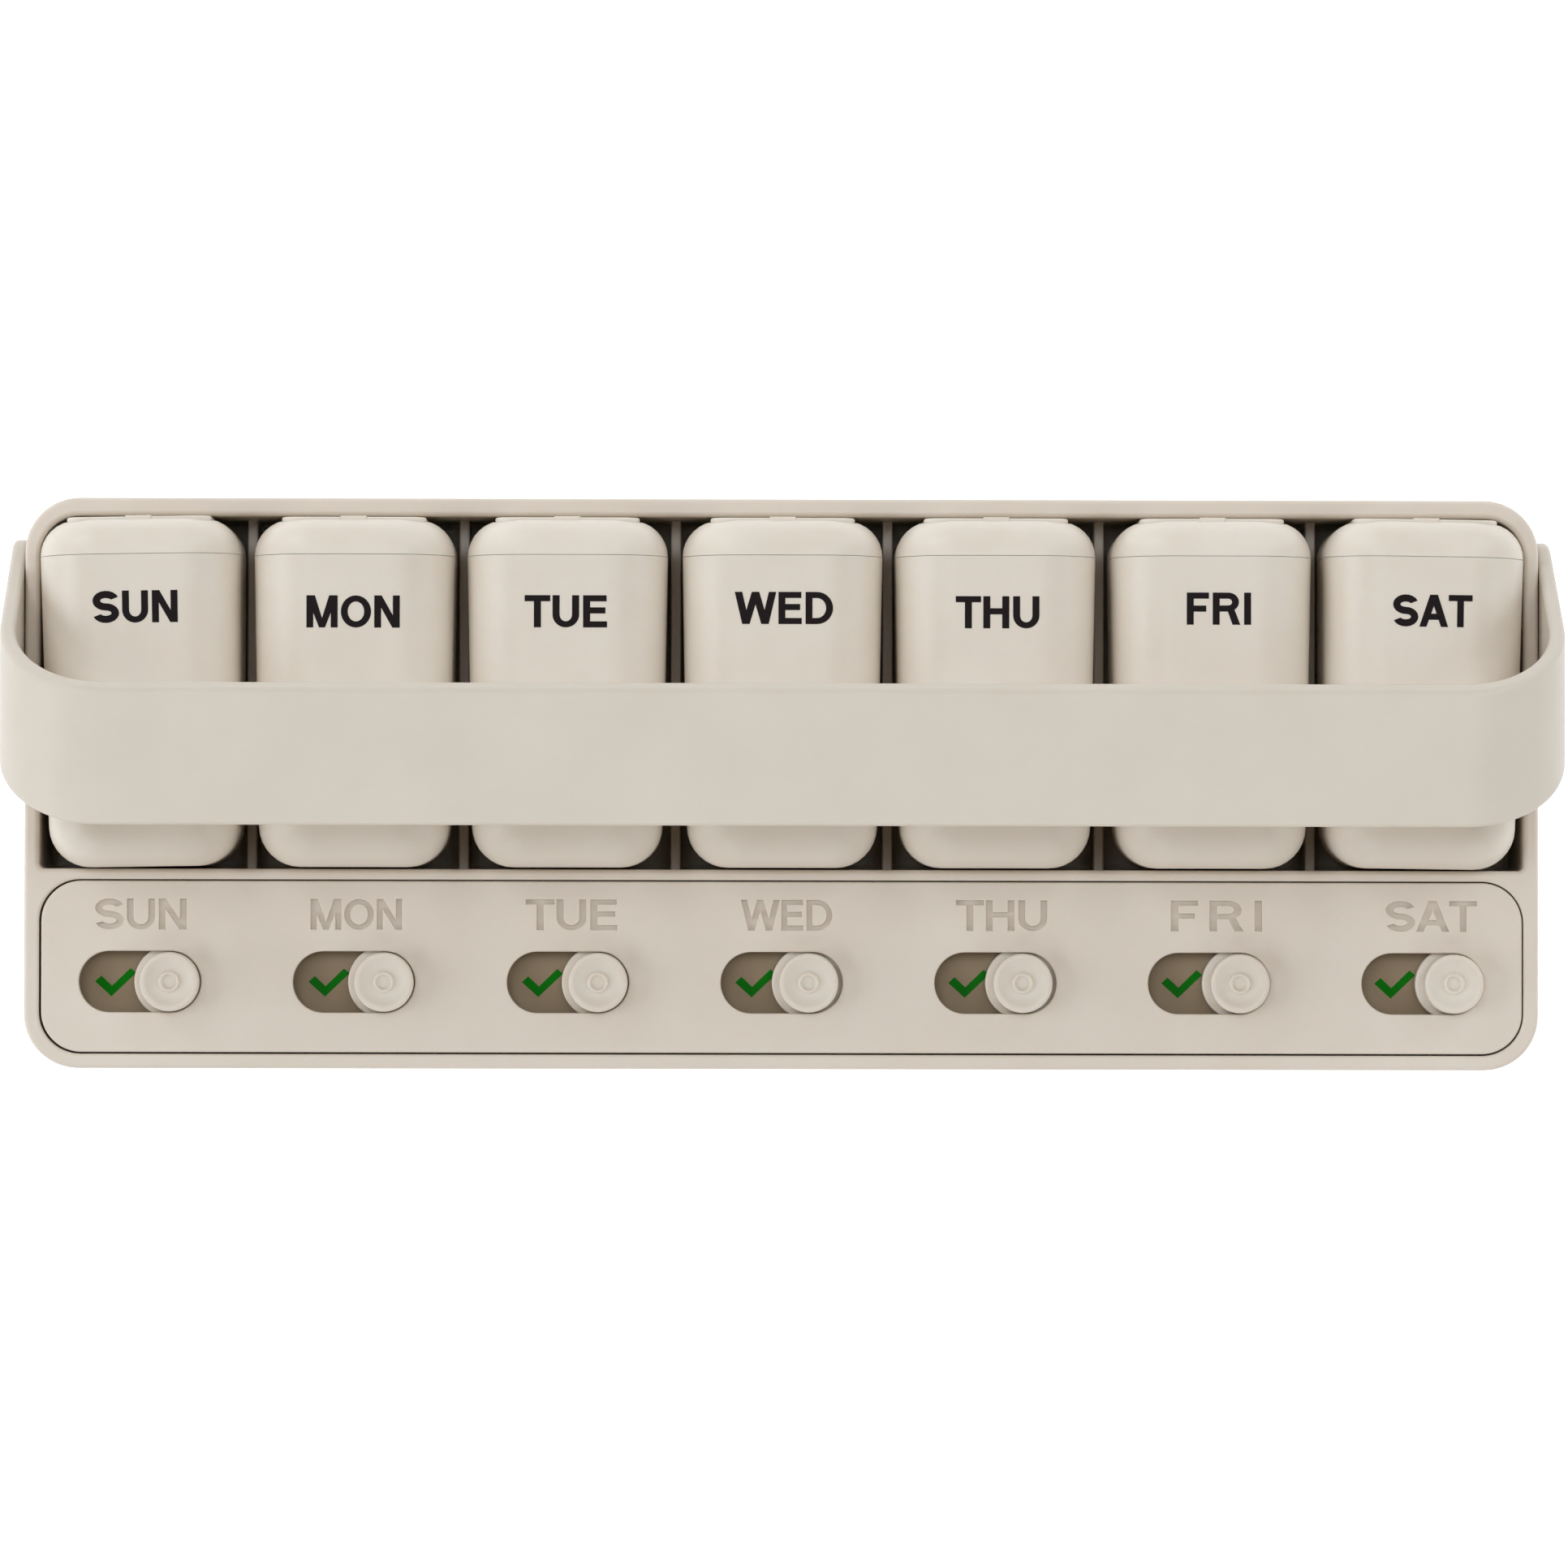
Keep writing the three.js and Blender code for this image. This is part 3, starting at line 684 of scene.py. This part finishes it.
def make_tray():
    panel_bay_plan = plan(bay_length, panel_bay_width, PANEL_CORNER + PANEL_GAP)
    outside = block(
        plan(tray_length, tray_width, TRAY_CORNER), 0, TRAY_HEIGHT,
        low_round=TRAY_BASE_ROUND, high_round=TRAY_RIM_ROUND, taper=TRAY_TAPER,
    )
    pod_bay = flared_cut(
        plan(bay_length, pod_bay_width, TRAY_CORNER - SIDE_WALL, BAY_FRONT_CORNER),
        TRAY_FLOOR, TRAY_HEIGHT, POD_BAY_RIM_ROUND, low_round=BAY_FLOOR_ROUND,
    )
    panel_bay = flared_cut(panel_bay_plan, well_top, TRAY_HEIGHT, PANEL_BAY_RIM_ROUND)
    well = block(
        inset_plan(panel_bay_plan, WELL_LEDGE),
        TRAY_FLOOR, well_top + OVERRUN, low_round=BAY_FLOOR_ROUND,
    )
    pivots = [
        side_cylinder(
            STUD_RADIUS + STUD_CLEARANCE, SIDE_WALL + 2 * OVERRUN,
            side * (tray_length - SIDE_WALL) / 2, pivot_y, pivot_z,
        )
        for side in (-1, 1)
    ]
    hollow = cut(
        outside,
        moved(pod_bay, 0, pod_bay_front + pod_bay_width / 2),
        moved(panel_bay, 0, panel_centre),
        moved(well, 0, panel_centre),
        *pivots,
    )
    walled = join(
        hollow,
        *dividers(pod_bay_front, pod_bay_width, TRAY_HEIGHT - DIVIDER_DROP),
        *dividers(panel_bay_front + WELL_LEDGE, panel_bay_width - 2 * WELL_LEDGE, well_top),
    )
    piece("tray_moulding", walled, TRAY_ABS, "tray", "tray", slot="tray")


# Tracker panel, tick plate and buttons

def make_panel():
    skirt_foot = tick_plate_top + SEAT_GAP
    outline = plan(panel_length - PANEL_SLACK_LEFT, PANEL_WIDTH - PANEL_SLACK_FRONT, PANEL_CORNER)
    off_x, off_y = PANEL_SLACK_LEFT / 2, PANEL_SLACK_FRONT / 2
    plate = moved(block(outline, skirt_foot, panel_top, high_round=PANEL_EDGE_ROUND), off_x, off_y)
    hollow = block(inset_plan(outline, PANEL_SKIRT), skirt_foot - OVERRUN, panel_underside)
    cuts = [moved(hollow, off_x, off_y)]
    for day in DAYS:
        slot = flared_cut(
            plan(SLOT_LENGTH, SLOT_WIDTH, SLOT_WIDTH / 2),
            panel_underside - OVERRUN, panel_top, SLOT_EDGE_ROUND,
        )
        cuts.append(moved(slot, slot_x(day), slot_centre - panel_centre))
    solid = cut(plate, *cuts)
    for day in DAYS:
        word = lettering(
            day.upper(), PANEL_LABEL_HEIGHT, PANEL_LABEL_LENGTH, 2 * PANEL_LABEL_DEPTH,
            PANEL_LABEL_STEM, PANEL_LABEL_BAR, PANEL_LABEL_CHAMFER,
        )
        word_y = slot_centre + PANEL_LABEL_TO_SLOT - panel_centre
        word_x = day_index(day) * PANEL_LABEL_PITCH + PANEL_LABEL_SHIFT
        solid = cut(solid, moved(word, word_x, word_y, panel_top))
    piece(
        "tracker_panel_moulding", moved(solid, 0, panel_centre), PANEL_ABS, "tray", "tracker_panel",
        slot="tracker_panel",
    )


def make_tick_plate():
    plate = block(
        plan(panel_length, PANEL_WIDTH, PANEL_CORNER), tick_plate_underside, tick_plate_top,
    )
    piece(
        "tick_plate_moulding", moved(plate, 0, panel_centre), PLATE_ABS_PAINTED_SHADE, "tray", "tick_plate",
        slot="tick_plate",
    )


def tick_row_tree():
    """One tick sign repeated along the plate."""
    tree = bpy.data.node_groups.new("tick_row", "GeometryNodeTree")
    inputs = {
        "Geometry": "NodeSocketGeometry", "Pitch": "NodeSocketFloat", "Count": "NodeSocketInt",
    }
    for name, kind in inputs.items():
        tree.interface.new_socket(name, in_out="INPUT", socket_type=kind)
    tree.interface.new_socket("Geometry", in_out="OUTPUT", socket_type="NodeSocketGeometry")
    given = add_node(tree, "NodeGroupInput").outputs
    step = add_node(tree, "ShaderNodeCombineXYZ", links={"X": given["Pitch"]})
    row = add_node(tree, "GeometryNodeMeshLine", {"mode": "OFFSET"}, {
        "Count": given["Count"], "Offset": step.outputs["Vector"],
    })
    signs = add_node(tree, "GeometryNodeInstanceOnPoints", links={
        "Points": row.outputs["Mesh"], "Instance": given["Geometry"],
    })
    real = add_node(tree, "GeometryNodeRealizeInstances", links={
        "Geometry": signs.outputs["Instances"],
    })
    inked = add_node(tree, "GeometryNodeSetMaterial", {"Material": GREEN_INK}, {
        "Geometry": real.outputs["Geometry"],
    })
    add_node(tree, "NodeGroupOutput", links={"Geometry": inked.outputs["Geometry"]})
    return tree


def make_ticks():
    first = DAYS[0]
    low = [
        Vector((slot_x(first) + x, slot_centre + y, tick_plate_top))
        for x, y in reversed(TICK_OUTLINE)
    ]
    sign = loft([low, [point + Vector((0, 0, TICK_INK)) for point in low]])
    thing = new_object("tick_signs", to_mesh(sign, "tick_signs"))
    tree = tick_row_tree()
    modifier = thing.modifiers.new("row", "NODES")
    modifier.node_group = tree
    sockets = {
        item.name: item.identifier
        for item in tree.interface.items_tree if item.in_out == "INPUT"
    }
    modifier[sockets["Pitch"]] = pod_pitch
    modifier[sockets["Count"]] = len(DAYS)
    row = evaluated_mesh(thing)
    thing.modifiers.clear()
    thing.data = row
    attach(thing, "tray")


def button_profile():
    """The button's turned outline as radii and heights: flange, side, rim, dish and ring."""
    outer_ring = BUTTON_RING_RADIUS + BUTTON_RING_HALF_WIDTH
    inner_ring = BUTTON_RING_RADIUS - BUTTON_RING_HALF_WIDTH
    dish_edge = BUTTON_RADIUS - BUTTON_RIM
    dish_floor = button_top - BUTTON_DISH
    outline = [(FLANGE_RADIUS, flange_underside)]
    outline += [
        (FLANGE_RADIUS - inset, flange_top - drop)
        for drop, inset in reversed(quarter_round(FLANGE_EDGE_ROUND, ROUND_STEPS))
    ]
    outline.append((BUTTON_RADIUS, flange_top))
    outline += [
        (BUTTON_RADIUS - inset, button_top - drop)
        for drop, inset in reversed(quarter_round(BUTTON_EDGE_ROUND, ROUND_STEPS))
    ]
    steps = [step / ROUND_STEPS for step in range(ROUND_STEPS + 1)]
    outline += [
        (
            dish_edge + (outer_ring - dish_edge) * share,
            button_top - BUTTON_DISH * math.sin(share * math.pi / 2),
        )
        for share in steps
    ]
    outline += [
        (
            outer_ring + (inner_ring - outer_ring) * share,
            dish_floor + BUTTON_RING_RISE * math.sin(share * math.pi),
        )
        for share in steps[1:]
    ]
    return outline


def make_button(day):
    turns = [step / LATHE_STEPS * 2 * math.pi for step in range(LATHE_STEPS)]
    rings = [
        [Vector((radius * math.cos(turn), radius * math.sin(turn), height)) for turn in turns]
        for radius, height in button_profile()
    ]
    right_end = slot_x(day) + (SLOT_LENGTH - SLOT_WIDTH) / 2
    solid = moved(loft(rings), right_end - BUTTON_SHORTFALL.get(day, 0), slot_centre)
    body = f"button_{day}"
    piece(
        f"slider_{day}", solid, BUTTON_ABS, body, body, slot="button",
        sharp_edge=BUTTON_SHARP_EDGE,
    )


# Pods

pod_plan = plan(POD_WIDTH, POD_DEPTH, POD_CORNER)
cap_foot = POD_BODY_LENGTH + PARTING_GAP
spigot_foot = cap_foot - SPIGOT_LENGTH
door_seat = pod_height + DOOR_PROUD - DOOR_THICKNESS
mouth_plan = plan(MOUTH_WIDTH, MOUTH_DEPTH, MOUTH_CORNER)


def pod_matrix(day):
    """From the standing pod to its place in its pocket, on its back and turned about its mouth."""
    mouth_x = day_index(day) * pod_pitch + POD_SHIFT.get(day, 0)
    mouth_y = pod_bay_front + POD_FOOT_CLEARANCE + POD_BODY_LENGTH
    return (
        Matrix.Translation((mouth_x, mouth_y, pod_axis_height))
        @ Matrix.Rotation(math.radians(POD_TURN_DEGREES.get(day, 0)), 4, "Z")
        @ Matrix.Translation((0, -POD_BODY_LENGTH, 0))
        @ Matrix.Rotation(-math.pi / 2, 4, "X")
    )


def pod_body():
    cup = block(
        pod_plan, 0, POD_BODY_LENGTH,
        low_round=POD_BASE_ROUND, high_round=PARTING_ROUND, taper=POD_DRAFT, steps=ROUND_STEPS,
    )
    inside = block(
        inset_plan(pod_plan, POD_WALL), POD_WALL, POD_BODY_LENGTH + OVERRUN,
        low_round=POD_BASE_ROUND - POD_WALL, taper=POD_DRAFT, steps=ROUND_STEPS,
    )
    return cut(cup, inside)


def pod_cap():
    spigot_inset = POD_WALL + SPIGOT_CLEARANCE
    dome = block(
        pod_plan, cap_foot, pod_height,
        low_round=PARTING_ROUND, high_round=CAP_LENGTH - PARTING_ROUND, steps=ROUND_STEPS,
    )
    spigot = block(inset_plan(pod_plan, spigot_inset), spigot_foot, cap_foot + SPIGOT_WALL)
    inside = block(
        inset_plan(pod_plan, spigot_inset + SPIGOT_WALL),
        spigot_foot - OVERRUN, pod_height - CAP_END_WALL, high_round=CAP_END_ROUND,
    )
    mouth = block(mouth_plan, cap_foot, pod_height + OVERRUN)
    recess = block(
        inset_plan(plan(DOOR_WIDTH, DOOR_DEPTH, DOOR_CORNER), -DOOR_CLEARANCE),
        door_seat - DOOR_CLEARANCE, pod_height + OVERRUN,
    )
    return cut(join(dome, spigot), inside, mouth, recess)


def pod_door():
    lip_foot = door_seat - DOOR_LIP_DEPTH
    plate = block(
        plan(DOOR_WIDTH, DOOR_DEPTH, DOOR_CORNER), door_seat, pod_reach, high_round=DOOR_EDGE_ROUND,
    )
    lip = block(inset_plan(mouth_plan, DOOR_CLEARANCE), lip_foot, door_seat + DOOR_EDGE_ROUND)
    lip_hollow = block(
        inset_plan(mouth_plan, DOOR_CLEARANCE + DOOR_LIP_WALL), lip_foot - OVERRUN, door_seat,
    )
    thumb_lip = moved(
        block(
            plan(THUMB_LIP_WIDTH, THUMB_LIP_REACH + THUMB_LIP_OVERLAP, THUMB_LIP_CORNER),
            pod_height - THUMB_LIP_DEPTH, pod_reach + THUMB_LIP_RISE, high_round=THUMB_LIP_RISE,
        ),
        0, (THUMB_LIP_OVERLAP - THUMB_LIP_REACH - DOOR_DEPTH) / 2,
    )
    return join(plate, cut(lip, lip_hollow), thumb_lip)


def pod_face_at(x, z):
    """The Y of the standing pod's label face, at a distance from its middle and a height."""
    inset = POD_DRAFT * (POD_BODY_LENGTH - z) / POD_BODY_LENGTH
    radius = POD_CORNER - inset
    past = max(abs(x) - (POD_WIDTH / 2 - inset - radius), 0)
    return -(POD_DEPTH / 2 - inset - radius) - math.sqrt(radius * radius - past * past)


def pod_label(day):
    """The day's name as an ink film that follows the pod's face, read from the closed end."""
    solid = lettering(
        day.upper(), POD_LABEL_HEIGHT, POD_LABEL_LENGTH[day], INK_THICKNESS,
        POD_LABEL_STEM, POD_LABEL_BAR,
    )
    bmesh.ops.triangulate(solid, faces=solid.faces)
    long_edges = [edge for edge in solid.edges if edge.calc_length() > INK_FACET]
    bmesh.ops.subdivide_edges(solid, edges=long_edges, cuts=INK_FACET_CUTS)
    bmesh.ops.triangulate(solid, faces=solid.faces)
    across, rise = POD_LABEL_OFFSET.get(day, (0, 0))
    for vert in solid.verts:
        x = vert.co.x + across
        z = POD_BODY_LENGTH - POD_LABEL_FROM_MOUTH + rise + vert.co.y
        vert.co = (x, pod_face_at(x, z) - INK_THICKNESS / 2 - vert.co.z, z)
    return solid


def make_pods():
    for day in DAYS:
        place = pod_matrix(day)
        body = f"pod_{day}"
        mouldings = (
            ("cup", "pod_body", pod_body), ("cap", "pod_cap", pod_cap),
            ("door", "pod_door", pod_door),
        )
        for name, part, make in mouldings:
            piece(f"{name}_{day}", make(), POD_ABS_PAINTED_LIGHT, body, f"{part}_{day}", matrix=place, slot=part)
        piece(f"label_{day}", pod_label(day), BLACK_INK, body, matrix=place)


# Handle

leg_end_radius = BAND_WIDTH * math.cos(HANDLE_RAKE) / 2


def leg_edges(height):
    """Front and rear edge of the raked leg at a height over the pivot, with its end round it."""
    half_width = leg_end_radius / math.cos(HANDLE_RAKE)
    centre = -height * math.tan(HANDLE_RAKE)
    tangent = leg_end_radius * math.sin(HANDLE_RAKE)
    rounded = math.sqrt(max(leg_end_radius ** 2 - height ** 2, 0))
    front = centre - half_width if height > -tangent else -rounded
    rear = centre + half_width if height > tangent else rounded
    return front, rear


def handle_section(x, z, out_x, out_z, half):
    ring = []
    for quarter, (side_y, side_out) in enumerate([(1, 1), (-1, 1), (-1, -1), (1, -1)]):
        for step in range(EDGE_STEPS + 1):
            angle = (quarter + step / EDGE_STEPS) * math.pi / 2
            edge_round = min(HANDLE_EDGE_ROUND, half)
            outward = side_out * (half - edge_round) + edge_round * math.sin(angle)
            height = z + out_z * outward
            front, rear = leg_edges(height)
            inset = min(edge_round, (rear - front) / 2) * (1 - abs(math.cos(angle)))
            y = rear - inset if side_y > 0 else front + inset
            ring.append(Vector((x + out_x * outward, y, height)))
    return ring


def make_handle():
    half = HANDLE_THICKNESS / 2
    leg_x = tray_length / 2 + HANDLE_GAP + half
    bend_radius = HANDLE_BEND - half
    bend_x = leg_x - bend_radius
    bend_z = HANDLE_RISE + PIVOT_BELOW_RIM - half - bend_radius
    right = []
    for step in range(BEND_STEPS + 1):
        angle = (1 - step / BEND_STEPS) * math.pi / 2
        out_x, out_z = math.cos(angle), math.sin(angle)
        x, z = bend_x + bend_radius * out_x, bend_z + bend_radius * out_z
        right.append((x, z, out_x, out_z, half))
    # The last section stops half a step short of the leg's lowest point, where it has no width
    for step in range(END_STEPS + 1):
        angle = HANDLE_RAKE - step / (END_STEPS + 0.5) * (math.pi / 2 + HANDLE_RAKE)
        z = leg_end_radius * math.sin(angle)
        into_round = max(HANDLE_EDGE_ROUND - (z + leg_end_radius), 0)
        drawn_in = HANDLE_EDGE_ROUND - math.sqrt(HANDLE_EDGE_ROUND ** 2 - into_round ** 2)
        right.append((leg_x, z, 1, 0, half - drawn_in))
    left = [(-x, z, -out_x, out_z, thick) for x, z, out_x, out_z, thick in reversed(right)]
    band = loft([handle_section(*place) for place in left + right])
    stud_end = tray_length / 2 - SIDE_WALL + STUD_SHORT_OF_POCKET
    studs = [
        side_cylinder(STUD_RADIUS, leg_x - stud_end, side * (leg_x + stud_end) / 2, 0, 0)
        for side in (-1, 1)
    ]
    piece(
        "bail_handle", join(band, *studs), HANDLE_ABS_PAINTED_SHADE, "handle", "handle",
        matrix=Matrix.Translation((0, pivot_y, pivot_z)), slot="handle",
    )


# Floor, light and camera

CAMERA_DISTANCE = 1200 * MM
CAMERA_TILT = math.radians(1.04)
CAMERA_SWING = math.radians(0.51)
CAMERA_AIM = 0.31 * MM
CAMERA_ROLL = math.radians(0.12)
PIXELS_PER_METRE = 7780
FRAME_PIXELS = 1932
SENSOR_MM = 36

PAPER_FIBRE = 2.5 * MM
PAPER_RELIEF = 0.05 * MM
FLOOR_HALF_LENGTH = 3
FLOOR_DROP = 0.2 * MM
FLOOR_GLOW = 0.6

# Cool lamps, and the warmer light that a room gives back
DAYLIGHT = "#e8f2ff"
ROOM_BOUNCE = "#ffeed7"
ROOM_STRENGTH = 0.25
# Each softbox: its place and its length and width in metres, and its power in watts. The
# overhead ones stand apart, so that the gaps between the pods stay dark.
SOFTBOXES = {
    "left_overhead_softbox": ((-0.85, 0.75, 3), (0.6, 1.7), 21),
    "right_overhead_softbox": ((0.85, 0.75, 3), (0.6, 1.7), 19),
    "rear_left_softbox": ((-2.2, 2.6, 1.8), (2.2, 1.6), 45),
    "rear_right_softbox": ((2.2, 2.6, 1.8), (2.2, 1.6), 36),
    "left_softbox": ((-3.2, -0.4, 1.5), (2.2, 1.8), 56),
    "right_softbox": ((3.2, -0.4, 1.4), (2.2, 1.8), 33.5),
    "front_left_softbox": ((-1.5, -2.9, 1.8), (1.7, 1.4), 27),
    "front_right_softbox": ((1.5, -2.9, 1.8), (1.7, 1.4), 24),
}


def make_stage():
    """White paper that glows only where it is seen, so that no more light falls on the object."""
    material = empty_material("studio_paper")
    tree = material.node_tree
    place = add_node(tree, "ShaderNodeTexCoord").outputs["Object"]
    fibre = add_node(tree, "ShaderNodeTexNoise", {"Scale": 1 / PAPER_FIBRE, "Detail": 2}, {
        "Vector": place,
    })
    relief = add_node(tree, "ShaderNodeBump", {"Strength": 0.05, "Distance": PAPER_RELIEF}, {
        "Height": fibre.outputs["Fac"],
    })
    paper = add_node(tree, "ShaderNodeBsdfPrincipled", {
        "Base Color": linear("#f6f6f6"), "Roughness": 0.85, "Emission Color": linear("#ffffff"),
    }, {"Normal": relief.outputs["Normal"]})
    ray = add_node(tree, "ShaderNodeLightPath").outputs
    seen = ray["Is Camera Ray"]
    for other in ("Is Glossy Ray", "Is Transmission Ray"):
        either = add_node(tree, "ShaderNodeMath", {"operation": "MAXIMUM"})
        tree.links.new(seen, either.inputs[0])
        tree.links.new(ray[other], either.inputs[1])
        seen = either.outputs["Value"]
    glow = add_node(tree, "ShaderNodeMapRange", {"To Min": 0, "To Max": FLOOR_GLOW}, {
        "Value": seen,
    })
    tree.links.new(glow.outputs["Result"], paper.inputs["Emission Strength"])
    finish_material(material, paper.outputs["BSDF"])
    floor = bmesh.new()
    bmesh.ops.create_grid(floor, x_segments=1, y_segments=1, size=FLOOR_HALF_LENGTH)
    thing = new_object("floor", to_mesh(floor, "floor"))
    thing.location.z = -FLOOR_DROP
    thing.data.materials.append(material)


def make_lights():
    world = bpy.data.worlds.new("studio")
    world.use_nodes = True
    background = world.node_tree.nodes["Background"].inputs
    background["Color"].default_value = linear(ROOM_BOUNCE)
    background["Strength"].default_value = ROOM_STRENGTH
    bpy.context.scene.world = world
    for name, (place, size, power) in SOFTBOXES.items():
        light = bpy.data.lights.new(name, "AREA")
        light.shape = "RECTANGLE"
        light.size, light.size_y = size
        light.energy = power
        light.color = linear(DAYLIGHT)[:3]
        thing = new_object(name, light)
        thing.location = place
        thing.rotation_euler = (-Vector(place)).to_track_quat("-Z", "Y").to_euler()


def make_camera():
    """Straight above the tray, tilted, swung and rolled as in the photograph."""
    camera = bpy.data.cameras.new("camera")
    camera.sensor_width = SENSOR_MM
    camera.lens = PIXELS_PER_METRE * CAMERA_DISTANCE * SENSOR_MM / FRAME_PIXELS
    thing = new_object("camera", camera)
    aim = Vector((CAMERA_AIM, 0, TRAY_HEIGHT))
    turn = (
        Matrix.Rotation(CAMERA_TILT, 4, "X")
        @ Matrix.Rotation(-CAMERA_SWING, 4, "Y")
        @ Matrix.Rotation(CAMERA_ROLL, 4, "Z")
    )
    back = Matrix.Translation((0, 0, CAMERA_DISTANCE))
    thing.matrix_world = Matrix.Translation(aim) @ turn @ back
    bpy.context.scene.camera = thing


make_camera()
make_lights()
make_stage()
make_tray()
make_tick_plate()
make_panel()
make_ticks()
for day in DAYS:
    make_button(day)
make_pods()
make_handle()

scene = bpy.context.scene
scene.view_settings.view_transform = "Standard"
bpy.context.view_layer.update()
